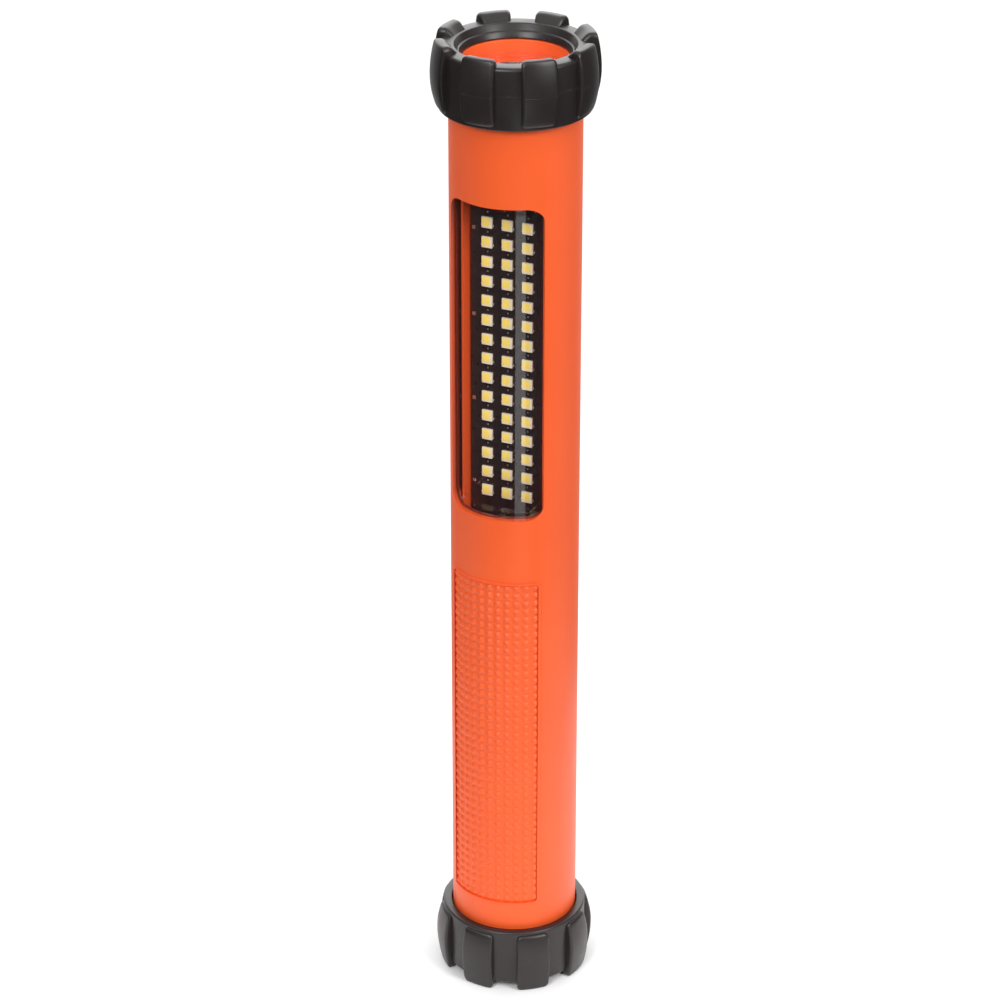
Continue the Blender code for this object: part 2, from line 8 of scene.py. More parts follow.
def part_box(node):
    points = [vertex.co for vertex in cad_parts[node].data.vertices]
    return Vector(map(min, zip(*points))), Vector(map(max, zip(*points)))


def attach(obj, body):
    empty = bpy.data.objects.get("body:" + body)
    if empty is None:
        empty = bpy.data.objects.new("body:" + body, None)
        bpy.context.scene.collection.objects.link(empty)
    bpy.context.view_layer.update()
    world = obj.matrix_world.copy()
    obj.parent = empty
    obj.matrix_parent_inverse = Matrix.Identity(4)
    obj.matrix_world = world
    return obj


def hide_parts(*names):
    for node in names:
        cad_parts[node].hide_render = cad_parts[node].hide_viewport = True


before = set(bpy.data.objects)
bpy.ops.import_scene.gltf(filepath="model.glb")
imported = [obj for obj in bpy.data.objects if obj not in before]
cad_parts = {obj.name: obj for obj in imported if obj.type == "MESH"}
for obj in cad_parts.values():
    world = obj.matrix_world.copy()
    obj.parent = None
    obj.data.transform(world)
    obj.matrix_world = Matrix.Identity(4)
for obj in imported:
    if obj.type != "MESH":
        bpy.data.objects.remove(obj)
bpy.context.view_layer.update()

MM = 0.001


# The view: the light stands on a white bench in a room that is white above and behind and dark at the
# sides and front. It is seen from a metre away and well above, with its flood window turned a little
# to the left. A long lens keeps the tube nearly straight.

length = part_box("head_bumper")[1].z
view_azimuth = math.radians(23.7)
view_distance = 993.0 * MM
view_height = 657.0 * MM
view_pitch = math.radians(26.3)
view_side_step = 4.66 * MM

towards_camera = Vector((math.sin(view_azimuth), -math.cos(view_azimuth), 0.0))
camera_right = Vector((math.cos(view_azimuth), math.sin(view_azimuth), 0.0))
camera_data = bpy.data.cameras.new("camera")
camera_data.lens = 128.4
camera_data.sensor_width = 36.0
camera_data.clip_start = 0.01
camera = bpy.data.objects.new("camera", camera_data)
bpy.context.scene.collection.objects.link(camera)
camera.location = towards_camera * view_distance + Vector((0.0, 0.0, view_height))
look_at = Vector((0.0, 0.0, view_height - view_distance * math.tan(view_pitch)))
look_at -= camera_right * view_side_step
camera.rotation_euler = (look_at - camera.location).to_track_quat("-Z", "Y").to_euler()
bpy.context.scene.camera = camera
bpy.context.scene.view_settings.view_transform = "Standard"


class Wire:
    """A shader socket that plain Python expressions can add, multiply and compare."""

    def __init__(self, tree, socket=None):
        self.tree = tree
        self.socket = socket

    def node(self, kind, settings=None, inputs=None, output=0):
        """Add a node, set it up, feed its inputs, and return one of its outputs."""
        made = self.tree.nodes.new("ShaderNode" + kind)
        for name, value in (settings or {}).items():
            if name == "stops":
                ramp = made.color_ramp.elements
                while len(ramp) < len(value):
                    ramp.new(0.5)
                for stop, (position, colour) in zip(ramp, value):
                    stop.position = position
                    stop.color = (*colour, 1.0)
            else:
                setattr(made, name, value)
        for key, value in (inputs or {}).items():
            if isinstance(value, Wire):
                self.tree.links.new(value.socket, made.inputs[key])
            else:
                made.inputs[key].default_value = value
        return Wire(self.tree, made.outputs[output])

    def maths(self, operation, first, second=0.0):
        return self.node("Math", {"operation": operation}, {0: first, 1: second})

    def __add__(self, other):
        return self.maths("ADD", self, other)

    __radd__ = __add__

    def __sub__(self, other):
        return self.maths("SUBTRACT", self, other)

    def __rsub__(self, other):
        return self.maths("SUBTRACT", other, self)

    def __mul__(self, other):
        return self.maths("MULTIPLY", self, other)

    __rmul__ = __mul__

    def __truediv__(self, other):
        return self.maths("DIVIDE", self, other)

    def __pow__(self, other):
        return self.maths("POWER", self, other)

    def __abs__(self):
        return self.maths("ABSOLUTE", self)

    def __gt__(self, other):
        return self.maths("GREATER_THAN", self, other)

    def __lt__(self, other):
        return self.maths("LESS_THAN", self, other)


world = bpy.data.worlds.new("white_room")
world.use_nodes = True
background = world.node_tree.nodes["Background"]
start = Wire(world.node_tree)
direction = start.node("TexCoord")
frontness = start.node(
    "VectorMath", {"operation": "DOT_PRODUCT"}, {0: direction, 1: towards_camera}, output=1
)
upness = start.node("SeparateXYZ", None, {0: direction}, output=2)
smooth = {"interpolation_type": "SMOOTHSTEP"}
back_wall = start.node("MapRange", smooth, {"Value": frontness, "From Min": -0.6, "From Max": -0.82})
ceiling = start.node("MapRange", smooth, {"Value": upness, "From Min": 0.3, "From Max": 0.8})
above_bench = start.node("MapRange", smooth, {"Value": upness, "From Min": -0.15, "From Max": 0.2})
dark_side_light = 0.06
low_wall_light = 0.55
high_wall_light = 2.2
ceiling_light = 0.95
wall_light = low_wall_light + high_wall_light * above_bench
room_light = dark_side_light + back_wall * wall_light + ceiling_light * ceiling
world.node_tree.links.new(room_light.socket, background.inputs["Strength"])
background.inputs["Color"].default_value = (1.0, 1.0, 1.0, 1.0)
bpy.context.scene.world = world


def soft_box(name, place, size, power):
    """A rectangular lamp that faces the middle of the light."""
    lamp = bpy.data.lights.new(name, "AREA")
    lamp.shape = "RECTANGLE"
    lamp.size, lamp.size_y = size
    lamp.energy = power
    holder = bpy.data.objects.new(name, lamp)
    bpy.context.scene.collection.objects.link(holder)
    holder.location = place
    aim = Vector((0.0, 0.0, length / 2)) - holder.location
    holder.rotation_euler = aim.to_track_quat("-Z", "Y").to_euler()


right_place = camera_right * 0.85 + towards_camera * 0.8 + Vector((0.0, 0.0, 0.8))
soft_box("right_soft_box", right_place, (0.4, 0.7), 9.8)
left_place = camera_right * -0.45 + towards_camera * 0.95 + Vector((0.0, 0.0, 0.85))
soft_box("left_soft_box", left_place, (0.4, 0.5), 7.6)
strip_azimuth = math.radians(9.0)
strip_distance = 0.6
strip_place = towards_camera * math.cos(strip_azimuth) + camera_right * math.sin(strip_azimuth)
strip_place = strip_place * strip_distance - Vector((0.0, 0.0, 0.08))
soft_box("low_strip", strip_place, (0.2, 0.34), 0.26)


# The floor: a small white mat under the light, on a wide white bench top that stops a little way in
# front of it. The mat lights the bumper at the foot. The bench top is left out of reflections, so the
# gloss of the tube and the window shows the dark room.

floor_white = bpy.data.materials.new("floor_white")
floor_white.use_nodes = True
floor_shader = floor_white.node_tree.nodes["Principled BSDF"]
floor_shader.inputs["Base Color"].default_value = (0.97, 0.97, 0.97, 1.0)
floor_shader.inputs["Roughness"].default_value = 0.9
floor_shader.inputs["Specular IOR Level"].default_value = 0.1


def stage_sheet(name, shape, height):
    mesh = bpy.data.meshes.new(name)
    bmesh.ops.translate(shape, vec=(0.0, 0.0, height), verts=shape.verts)
    shape.to_mesh(mesh)
    shape.free()
    mesh.materials.append(floor_white)
    sheet = bpy.data.objects.new(name, mesh)
    bpy.context.scene.collection.objects.link(sheet)
    return sheet


mat_radius = 0.19
shape = bmesh.new()
bmesh.ops.create_circle(shape, cap_ends=True, segments=64, radius=mat_radius)
stage_sheet("floor_mat", shape, 0.0)

floor_size = 6.0
floor_front_edge = 0.16
shape = bmesh.new()
bmesh.ops.create_grid(shape, x_segments=1, y_segments=1, size=floor_size)
bmesh.ops.translate(shape, vec=(0.0, floor_size - floor_front_edge, 0.0), verts=shape.verts)
turn = Matrix.Rotation(view_azimuth, 3, "Z")
bmesh.ops.rotate(shape, cent=(0.0, 0.0, 0.0), matrix=turn, verts=shape.verts)
bench_top = stage_sheet("floor_bench_top", shape, -0.05 * MM)
bench_top.visible_glossy = False


# The body tube: one injection-moulded orange tube with a satin skin, an opening for the flood window,
# two shallow recesses for the grips and a round hole for the switch.


def new_material(name):
    """An empty Principled material, with its shader's inputs and a wire to start expressions from."""
    material = bpy.data.materials.new(name)
    material.use_nodes = True
    shader = material.node_tree.nodes["Principled BSDF"]
    return material, shader.inputs, Wire(material.node_tree)


def connect(wire, socket):
    wire.tree.links.new(wire.socket, socket)


def place_of(start):
    return start.node("TexCoord", output=3)


def noise(start, scale, detail=3.0, roughness=0.5):
    grain = {"Scale": scale, "Detail": detail, "Roughness": roughness}
    return start.node("TexNoise", None, {"Vector": place_of(start), **grain})


def mix_colours(start, factor, first, second):
    return start.node(
        "Mix", {"data_type": "RGBA"}, {0: factor, 6: (*first, 1.0), 7: (*second, 1.0)}, output=2
    )


def bumped(start, height, distance, strength=1.0):
    return start.node("Bump", None, {"Height": height, "Distance": distance, "Strength": strength})


def moulded_plastic(name, dark, light, roughness, grain, grain_depth):
    """Satin moulded plastic: faint clouds of colour, a fine grain and slightly uneven gloss."""
    material, inputs, start = new_material(name)
    clouds = noise(start, 45.0, 4.0)
    fine = noise(start, grain, 2.0)
    connect(mix_colours(start, clouds, dark, light), inputs["Base Color"])
    connect(roughness - 0.06 + 0.12 * noise(start, 130.0, 5.0, 0.6), inputs["Roughness"])
    connect(bumped(start, fine, grain_depth, 0.35), inputs["Normal"])
    return material


orange_plastic = moulded_plastic(
    "orange_satin_plastic", (0.83, 0.098, 0.016), (0.90, 0.118, 0.021), 0.44, 2600.0, 0.02 * MM
)
orange_plastic.node_tree.nodes["Principled BSDF"].inputs["Specular IOR Level"].default_value = 0.45


def new_object(name, shape, material):
    mesh = bpy.data.meshes.new(name)
    shape.to_mesh(mesh)
    shape.free()
    mesh.materials.append(material)
    piece = bpy.data.objects.new(name, mesh)
    bpy.context.scene.collection.objects.link(piece)
    return piece


def shade(piece, sharp_angle=38.0):
    mesh = piece.data
    mesh.shade_smooth()
    mesh.set_sharp_from_angle(angle=math.radians(sharp_angle))
    return piece


def rounded(corners, steps=4):
    """Points of a closed outline, where a corner (across, along, rounding) becomes a short arc."""
    points = []
    for i, (across, along, rounding) in enumerate(corners):
        corner = Vector((across, along, 0.0))
        if not rounding:
            points.append(corner)
            continue
        before = Vector((*corners[i - 1][:2], 0.0)) - corner
        after = Vector((*corners[(i + 1) % len(corners)][:2], 0.0)) - corner
        half = before.angle(after) / 2
        inwards = (before.normalized() + after.normalized()).normalized()
        centre = corner + inwards * rounding / math.sin(half)
        reach = rounding / math.tan(half)
        first = corner + before.normalized() * reach - centre
        last = corner + after.normalized() * reach - centre
        for step in range(steps + 1):
            points.append(centre + rounding * first.slerp(last, step / steps))
    return [(point.x, point.y) for point in points]


def spun(name, outline, material, segments=160):
    """Spin a closed outline of (radius, height) points about Z into a solid of revolution."""
    shape = bmesh.new()
    points = [shape.verts.new((radius, 0.0, height)) for radius, height in outline]
    edges = []
    for i, point in enumerate(points):
        following = points[(i + 1) % len(points)]
        if point.co.x < 1e-7 and following.co.x < 1e-7:
            continue
        edges.append(shape.edges.new((point, following)))
    bmesh.ops.spin(
        shape,
        geom=points + edges,
        cent=(0.0, 0.0, 0.0),
        axis=(0.0, 0.0, 1.0),
        angle=2 * math.pi,
        steps=segments,
        use_merge=True,
    )
    bmesh.ops.remove_doubles(shape, verts=shape.verts, dist=1e-6)
    bmesh.ops.recalc_face_normals(shape, faces=shape.faces)
    return shade(new_object(name, shape, material))


def combine(piece, other, operation, keep_other=False):
    """Cut, join or intersect a piece with another solid, and keep only the result."""
    modifier = piece.modifiers.new(operation.lower(), "BOOLEAN")
    modifier.operation = operation
    modifier.solver = "EXACT"
    modifier.object = other
    bpy.context.view_layer.update()
    graph = bpy.context.evaluated_depsgraph_get()
    result = bpy.data.meshes.new_from_object(piece.evaluated_get(graph))
    piece.modifiers.clear()
    piece.data = result
    if not keep_other:
        bpy.data.objects.remove(other)
    return piece


def oblong(name, half_width, bottom, top, corner, low_y, high_y, material):
    """A bar along Y with a rounded oblong outline."""
    shape = bmesh.new()
    made = bmesh.ops.create_cube(shape, size=1.0)["verts"]
    size = Vector((2 * half_width, high_y - low_y, top - bottom))
    bmesh.ops.scale(shape, vec=size, verts=made)
    bmesh.ops.translate(shape, vec=(0.0, (low_y + high_y) / 2, (bottom + top) / 2), verts=made)
    along = [edge for edge in shape.edges if abs(edge.verts[0].co.y - edge.verts[1].co.y) > MM]
    bmesh.ops.bevel(
        shape, geom=along, offset=corner, segments=8, profile=0.5, affect="EDGES", material=-1
    )
    return new_object(name, shape, material)


tube_low, tube_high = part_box("body_tube")
tube_radius = tube_high.x
tube_bore = 17.0 * MM
cover_low, cover_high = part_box("window_lens")
cover_margin = 0.3 * MM
window_half = cover_high.x + cover_margin
window_bottom = cover_low.z - cover_margin
window_top = cover_high.z + cover_margin
window_corner = 4.5 * MM
pad_half = 14.3 * MM
pad_bottom = 31.2 * MM
pad_top = 146.5 * MM
pad_depth = 0.4 * MM
pad_corner = 1.2 * MM
lip_width = 0.65 * MM
lip_rise = 0.28 * MM
switch_height = (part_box("switch_bezel")[0].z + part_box("switch_bezel")[1].z) / 2
switch_hole = 8.3 * MM

tube = spun(
    "body_tube_shell",
    rounded([
        (tube_radius, tube_high.z, 0.5 * MM),
        (tube_radius, tube_low.z, 0.5 * MM),
        (tube_bore, tube_low.z, 0.3 * MM),
        (tube_bore, tube_high.z, 0.3 * MM),
    ]),
    orange_plastic,
    segments=192,
)


def window_bar(name, margin, low_y=-30.0 * MM, high_y=0.0):
    """A bar with the window's outline, smaller than the window by the margin all round."""
    return oblong(
        name,
        window_half - margin,
        window_bottom + margin,
        window_top - margin,
        window_corner - margin,
        low_y,
        high_y,
        orange_plastic,
    )


def hollow_ring(name, outer, inner, bottom, top):
    outline = [(outer, top), (outer, bottom), (inner, bottom), (inner, top)]
    return spun(name, outline, orange_plastic, segments=192)


combine(tube, window_bar("opening_outline", 0.0), "DIFFERENCE")

for side, low_y, high_y in (("front", -30.0 * MM, 0.0), ("back", 0.0, 30.0 * MM)):
    floor_radius = tube_radius - pad_depth
    recess = hollow_ring(side + "_recess", 30.0 * MM, floor_radius, 20.0 * MM, 160.0 * MM)
    pad_outline = (pad_half, pad_bottom, pad_top, pad_corner, low_y, high_y, orange_plastic)
    outline = oblong("recess_outline", *pad_outline)
    combine(recess, outline, "INTERSECT")
    combine(tube, recess, "DIFFERENCE")

    lip = hollow_ring(side + "_lip", tube_radius + lip_rise, floor_radius, 20.0 * MM, 160.0 * MM)
    outline = oblong(
        "lip_outline",
        pad_half + lip_width,
        pad_bottom - lip_width,
        pad_top + lip_width,
        pad_corner + lip_width,
        low_y,
        high_y,
        orange_plastic,
    )
    combine(lip, outline, "INTERSECT")
    inside = oblong("lip_inside", *pad_outline)
    combine(lip, inside, "DIFFERENCE")
    combine(tube, lip, "UNION")


def round_bar(name, radius, start, end, material, segments=96):
    """A plain round bar between two points."""
    shape = bmesh.new()
    along = end - start
    turn = along.to_track_quat("Z", "Y").to_matrix().to_4x4()
    bmesh.ops.create_cone(
        shape,
        cap_ends=True,
        segments=segments,
        radius1=radius,
        radius2=radius,
        depth=along.length,
        matrix=Matrix.Translation((start + end) / 2) @ turn,
    )
    return shade(new_object(name, shape, material))


hole = round_bar(
    "hole",
    switch_hole,
    Vector((0.0, 5.0 * MM, switch_height)),
    Vector((0.0, 30.0 * MM, switch_height)),
    orange_plastic,
)
combine(tube, hole, "DIFFERENCE")


def soften_edges(piece, width, angle=40.0, segments=2):
    """A small rounding on every edge sharper than the angle, as a mould leaves."""
    bevel = piece.modifiers.new("rounding", "BEVEL")
    bevel.width = width
    bevel.segments = segments
    bevel.limit_method = "ANGLE"
    bevel.angle_limit = math.radians(angle)
    bevel.use_clamp_overlap = True
    bevel.harden_normals = True
    return piece


shade(tube)
soften_edges(tube, 0.22 * MM)
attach(tube, "body")
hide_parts("body_tube")


# The grips: on the front and back of the tube, a square grid of small rounded bumps stands in each
# shallow recess. They are moulded in one with the tube.

bump_rise = 0.74 * MM
bump_columns = 11
bump_rows = 42
cells_per_bump = 8
grip_skin = 0.25 * MM
grip_radius = tube_radius - pad_depth


def bump_height(column_share, row_share):
    """How far the skin stands out at a place in one bump's square, from 0 at its edge to 1."""
    across = math.sin(math.pi * column_share)
    along = math.sin(math.pi * row_share)
    return (across * along) ** 1.5


def grip(name, facing):
    """A sheet with bumps, wrapped round the tube. Facing is -1 for the front and 1 for the back."""
    shape = bmesh.new()
    margin = 0.02 * MM
    half_angle = math.asin(pad_half / grip_radius) - margin / grip_radius
    bottom = pad_bottom + margin
    top = pad_top - margin
    columns = bump_columns * cells_per_bump
    rows = bump_rows * cells_per_bump
    bmesh.ops.create_grid(shape, x_segments=columns, y_segments=rows, size=0.5)
    for point in shape.verts:
        across = point.co.x + 0.5
        along = point.co.y + 0.5
        rise = bump_rise * bump_height((across * bump_columns) % 1.0, (along * bump_rows) % 1.0)
        angle = half_angle * (2 * across - 1)
        radius = grip_radius - 0.05 * MM + rise
        point.co = (
            radius * math.sin(angle) * -facing,
            radius * math.cos(angle) * facing,
            bottom + (top - bottom) * along,
        )
    bmesh.ops.recalc_face_normals(shape, faces=shape.faces)
    sheet = shade(new_object(name, shape, orange_plastic), 80.0)
    wall = sheet.modifiers.new("wall", "SOLIDIFY")
    wall.thickness = grip_skin
    wall.offset = -1.0
    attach(sheet, "body")


grip("front_grip", -1)
grip("back_grip", 1)


# The bumpers: a castellated ring of black rubber on each screwed end. Eight barrel-shaped lugs stand
# proud of a plain band and past its rim, so the light stands on them and doesn't roll.


parting_line = 10.9 * MM


def rubber(name, dark, light, roughness, grain, has_parting_line=False):
    """Moulded rubber: clouded black, a fine grain, and if asked a thin raised line round each bumper."""
    material, inputs, start = new_material(name)
    clouds = noise(start, 60.0, 5.0, 0.6)
    connect(mix_colours(start, clouds, dark, light), inputs["Base Color"])
    connect(roughness - 0.07 + 0.14 * noise(start, 220.0, 4.0), inputs["Roughness"])
    skin = 0.35 * noise(start, grain, 3.0)
    if has_parting_line:
        height = start.node("SeparateXYZ", None, {0: place_of(start)}, output=2)
        from_end = start.maths("MINIMUM", height, length - height)
        skin = skin + 2.0 * (abs(from_end - parting_line) < 0.09 * MM)
    connect(bumped(start, skin, 0.03 * MM, 0.5), inputs["Normal"])
    return material


bumper_rubber = rubber(
    "bumper_rubber",
    (0.0145, 0.0105, 0.0105),
    (0.022, 0.0165, 0.0165),
    0.36,
    2300.0,
    has_parting_line=True,
)

bumper_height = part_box("tail_bumper")[1].z
lug_radius = 25.4 * MM
band_radius = 23.1 * MM
lug_count = 8
lug_angle = math.radians(25.6)
lug_step = 2.3 * MM
lug_foot = 20.4 * MM
lug_root = 22.3 * MM
lug_tip_inside = 21.4 * MM
lug_tip_depth = 2.9 * MM
lug_middle = 11.0 * MM
lug_corner = 1.5 * MM
lug_rim = 0.8 * MM
head_clocking = math.radians(-4.4)
tail_clocking = math.radians(-6.1)


def barrel(height):
    """The lug's outer radius at a height above its tip: fullest at the middle, drawn in to both ends."""
    draw_in = 1.5 * MM if height < lug_middle else 1.7 * MM
    reach = lug_middle if height < lug_middle else lug_foot - lug_middle
    return lug_radius - draw_in * ((height - lug_middle) / reach) ** 2


def is_outside(point):
    stands_proud = point.y > lug_root + 0.05 * MM or point.z < lug_tip_depth - 0.15 * MM
    return stands_proud or point.y < 19.0 * MM


def flat_lug(slope_end):
    """One lug before it is bent: x runs round the ring, y outwards and z up from its tip. Inside its
    tip it slopes down to slope_end, below the ring's rim."""
    lug = bmesh.new()
    half_width = lug_angle * lug_radius / 2
    section = [
        (lug_radius, 0.0),
        (lug_radius, lug_foot),
        (lug_root, lug_foot),
        (lug_root, lug_tip_depth),
        slope_end,
        (lug_tip_inside, 0.0),
    ]
    end = lug.faces.new([lug.verts.new((-half_width, y, z)) for y, z in section])
    grown = bmesh.ops.extrude_face_region(lug, geom=[end])
    far_points = [item for item in grown["geom"] if isinstance(item, bmesh.types.BMVert)]
    bmesh.ops.translate(lug, vec=(2 * half_width, 0.0, 0.0), verts=far_points)
    bmesh.ops.recalc_face_normals(lug, faces=lug.faces)
    corner_edges = []
    for edge in lug.edges:
        first, last = (vert.co for vert in edge.verts)
        runs_outwards = abs(first.y - last.y) > MM
        at_foot = min(first.z, last.z) > lug_foot - MM
        at_tip = min(first.z, last.z) < 0.01 * MM and max(first.z, last.z) < 4.0 * MM
        if runs_outwards and (at_foot or at_tip):
            corner_edges.append(edge)
    bmesh.ops.bevel(
        lug, geom=corner_edges, offset=lug_corner, segments=6, profile=0.5, affect="EDGES", material=-1
    )
    sharp = math.radians(35)
    rims = []
    for edge in lug.edges:
        if edge.calc_face_angle(0.0) > sharp and all(is_outside(vert.co) for vert in edge.verts):
            rims.append(edge)
    bmesh.ops.bevel(lug, geom=rims, offset=lug_rim, segments=3, profile=0.5, affect="EDGES", material=-1)
    return lug, half_width


def cut_across(shape, point, direction):
    everything = shape.verts[:] + shape.edges[:] + shape.faces[:]
    bmesh.ops.bisect_plane(shape, geom=everything, dist=1e-6, plane_co=point, plane_no=direction)


def lugs(name, material, slope_end):
    """Eight lugs: each a rounded block, cut across so that it can bend, and wrapped round the ring."""
    lug, half_width = flat_lug(slope_end)
    for step in range(1, 8):
        cut_across(lug, (half_width * (step / 4 - 1), 0.0, 0.0), (1.0, 0.0, 0.0))
    for step in range(1, 12):
        cut_across(lug, (0.0, 0.0, lug_foot * step / 12), (0.0, 0.0, 1.0))
    for vert in lug.verts:
        across, outwards, height = vert.co
        share = max(0.0, (outwards - lug_root) / (lug_radius - lug_root))
        radius = outwards - share * (lug_radius - barrel(height))
        angle = across / lug_radius
        vert.co = (radius * math.sin(angle), -radius * math.cos(angle), height)
    one = bpy.data.meshes.new("one_lug")
    lug.to_mesh(one)
    lug.free()
    shape = bmesh.new()
    for i in range(lug_count):
        turned = one.copy()
        turned.transform(Matrix.Rotation(2 * math.pi * i / lug_count, 4, "Z"))
        shape.from_mesh(turned)
        bpy.data.meshes.remove(turned)
    bpy.data.meshes.remove(one)
    return new_object(name, shape, material)


def bumper(name, inside, slope_end, clocking, upside_down):
    """A bumper made with its tips at z = 0, then turned to its clocking and put on its end."""
    corners = [
        (band_radius, bumper_height, 0.7 * MM),
        (band_radius, lug_step, 1.1 * MM),
        (18.3 * MM, lug_step, 0.5 * MM),
    ]
    ring = spun(name, rounded(corners + inside), bumper_rubber, segments=160)
    combine(ring, lugs("lugs", bumper_rubber, slope_end), "UNION")
    place = Matrix.Rotation(clocking, 4, "Z")
    if upside_down:
        place = Matrix.Translation((0.0, 0.0, length)) @ place @ Matrix.Rotation(math.pi, 4, "X")
    ring.data.transform(place)
    shade(ring, 32.0)
    return ring


groove_radius = 21.7 * MM
band_bore = tube_radius + 0.3 * MM
head_bumper = bumper(
    "head_bumper_ring",
    [
        (17.2 * MM, 4.3 * MM, 0.25 * MM),
        (16.7 * MM, 4.5 * MM, 0.25 * MM),
        (15.7 * MM, 6.4 * MM, 0.25 * MM),
        (groove_radius, 6.4 * MM, 0.0),
        (groove_radius, 8.9 * MM, 0.0),
        (band_bore, 8.9 * MM, 0.0),
        (band_bore, bumper_height, 0.35 * MM),
    ],
    (18.1 * MM, 3.3 * MM),
    head_clocking,
    True,
)
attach(head_bumper, "head_ring")
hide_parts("head_bumper")

tail_bumper = bumper(
    "tail_bumper_ring",
    [
        (18.3 * MM, 3.1 * MM, 0.0),
        (groove_radius, 3.1 * MM, 0.0),
        (groove_radius, 8.7 * MM, 0.0),
        (band_bore, 8.7 * MM, 0.0),
        (band_bore, bumper_height, 0.35 * MM),
    ],
    (18.6 * MM, 2.8 * MM),
    tail_clocking,
    False,
)
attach(tail_bumper, "tail_cap")
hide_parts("tail_bumper")


# The window seal: a thin dark red bead round the opening's wall, under the clear cover's edge.

seal_rubber = rubber(
    "window_seal_rubber", (0.17, 0.022, 0.016), (0.22, 0.032, 0.022), 0.4, 2000.0
)
seal_margin = 0.2 * MM
seal_wall = 0.4 * MM

seal = hollow_ring("window_seal_bead", 18.3 * MM, 17.5 * MM, 150.0 * MM, 290.0 * MM)
combine(seal, window_bar("seal_outline", seal_margin), "INTERSECT")
combine(seal, window_bar("seal_opening", seal_margin + seal_wall), "DIFFERENCE")
seal.data.materials.clear()
seal.data.materials.append(seal_rubber)
shade(seal)
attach(seal, "body")
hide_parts("window_gasket")


# The window cover: a curved sheet of clear polycarbonate, flush with the tube. A short skirt round its
# edge drops into the opening and carries the seal.


def clear_plastic(name, tint, face_on, slant):
    """Thin clear moulding: light goes straight through it, and its skin mirrors more at a slant. The
    share that is mirrored is face_on, plus slant where the skin is seen edge-on."""
    material, inputs, start = new_material(name)
    inputs["Metallic"].default_value = 1.0
    inputs["Base Color"].default_value = (1.0, 1.0, 1.0, 1.0)
    haze = noise(start, 400.0, 5.0, 0.6)
    connect(0.02 + 0.03 * haze, inputs["Roughness"])
    through = start.node("BsdfTransparent", None, {"Color": (*tint, 1.0)})
    mirrored = face_on + slant * start.node("LayerWeight", None, {"Blend": 0.5}, output=1) ** 5
    principled = material.node_tree.nodes["Principled BSDF"]
    skin = Wire(material.node_tree, principled.outputs[0])
    both = start.node("MixShader", None, {0: mirrored, 1: through, 2: skin})
    connect(both, material.node_tree.nodes["Material Output"].inputs["Surface"])
    return material


clear_polycarbonate = clear_plastic("clear_polycarbonate", (0.99, 0.98, 0.98), 0.035, 0.45)

cover_inner = 18.65 * MM
cover_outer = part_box("window_lens")[0].y * -1
skirt_margin = 0.8 * MM
skirt_wall = 1.5 * MM
skirt_end = 15.2 * MM
cover = hollow_ring("window_cover", cover_outer, cover_inner, 150.0 * MM, 290.0 * MM)
combine(cover, window_bar("cover_outline", cover_margin), "INTERSECT")
skirt = hollow_ring("skirt", cover_inner + 0.5 * MM, skirt_end, 150.0 * MM, 290.0 * MM)
combine(skirt, window_bar("skirt_outline", skirt_margin), "INTERSECT")
combine(skirt, window_bar("skirt_inside", skirt_margin + skirt_wall), "DIFFERENCE")
combine(cover, skirt, "UNION")
cover.data.materials.clear()
cover.data.materials.append(clear_polycarbonate)
shade(cover)
soften_edges(cover, 0.25 * MM)
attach(cover, "body")
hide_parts("window_lens")


# The LED trough: an orange moulding behind the window. Its side walls rise from the board's edges to
# just behind the window's cover, and its floor is screwed to the chassis.

tray_low, tray_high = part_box("led_tray")
board_low, board_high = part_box("led_board")
tray_floor = -3.7 * MM
tray_back = -1.1 * MM
tray_lip = -9.2 * MM
half_section = rounded([
    (13.05 * MM, tray_lip, 0.15 * MM),
    (13.8 * MM, tray_lip, 0.15 * MM),
    (13.3 * MM, tray_back, 0.3 * MM),
    (-13.3 * MM, tray_back, 0.3 * MM),
    (-13.8 * MM, tray_lip, 0.15 * MM),
    (-13.05 * MM, tray_lip, 0.15 * MM),
    (-12.5 * MM, tray_floor, 0.0),
    (12.5 * MM, tray_floor, 0.0),
])
shape = bmesh.new()
corners = [shape.verts.new((x, y, tray_low.z)) for x, y in half_section]
floor_face = shape.faces.new(corners)
grown = bmesh.ops.extrude_face_region(shape, geom=[floor_face])
top_corners = [item for item in grown["geom"] if isinstance(item, bmesh.types.BMVert)]
bmesh.ops.translate(shape, vec=(0.0, 0.0, tray_high.z - tray_low.z), verts=top_corners)
bmesh.ops.recalc_face_normals(shape, faces=shape.faces)
trough = shade(new_object("led_trough", shape, orange_plastic))
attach(trough, "body")
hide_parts("led_tray")


# The LED board: a black circuit board with fifteen rows of three white LEDs. Each LED is a cream
# package with a yellow phosphor square, and has solder at its ends and a test dot below it.

led_rows = 15
led_columns = 3
row_pitch = 6.34 * MM
column_pitch = 6.63 * MM
led_centre = 215.6 * MM
led_width = 3.5 * MM
led_height = 3.5 * MM
led_stand = 0.8 * MM
board_face = board_low.y + led_stand


def board_mask(name, dark, light):
    """Glossy solder mask, a little lighter over the copper tracks beneath it."""
    material, inputs, start = new_material(name)
    across = start.node("SeparateXYZ", None, {0: place_of(start)}, output=0)
    along = start.node("SeparateXYZ", None, {0: place_of(start)}, output=2)
    strips = start.maths("FRACT", across / column_pitch + 0.5)
    tracks = (abs(strips - 0.5) > 0.12) * (start.maths("FRACT", along / row_pitch) > 0.06)
    mask = 0.55 * tracks + 0.3 * noise(start, 300.0, 4.0)
    connect(mix_colours(start, mask, dark, light), inputs["Base Color"])
    connect(0.24 + 0.1 * noise(start, 500.0, 3.0), inputs["Roughness"])
    connect(bumped(start, tracks, 0.03 * MM, 0.5), inputs["Normal"])
    return material


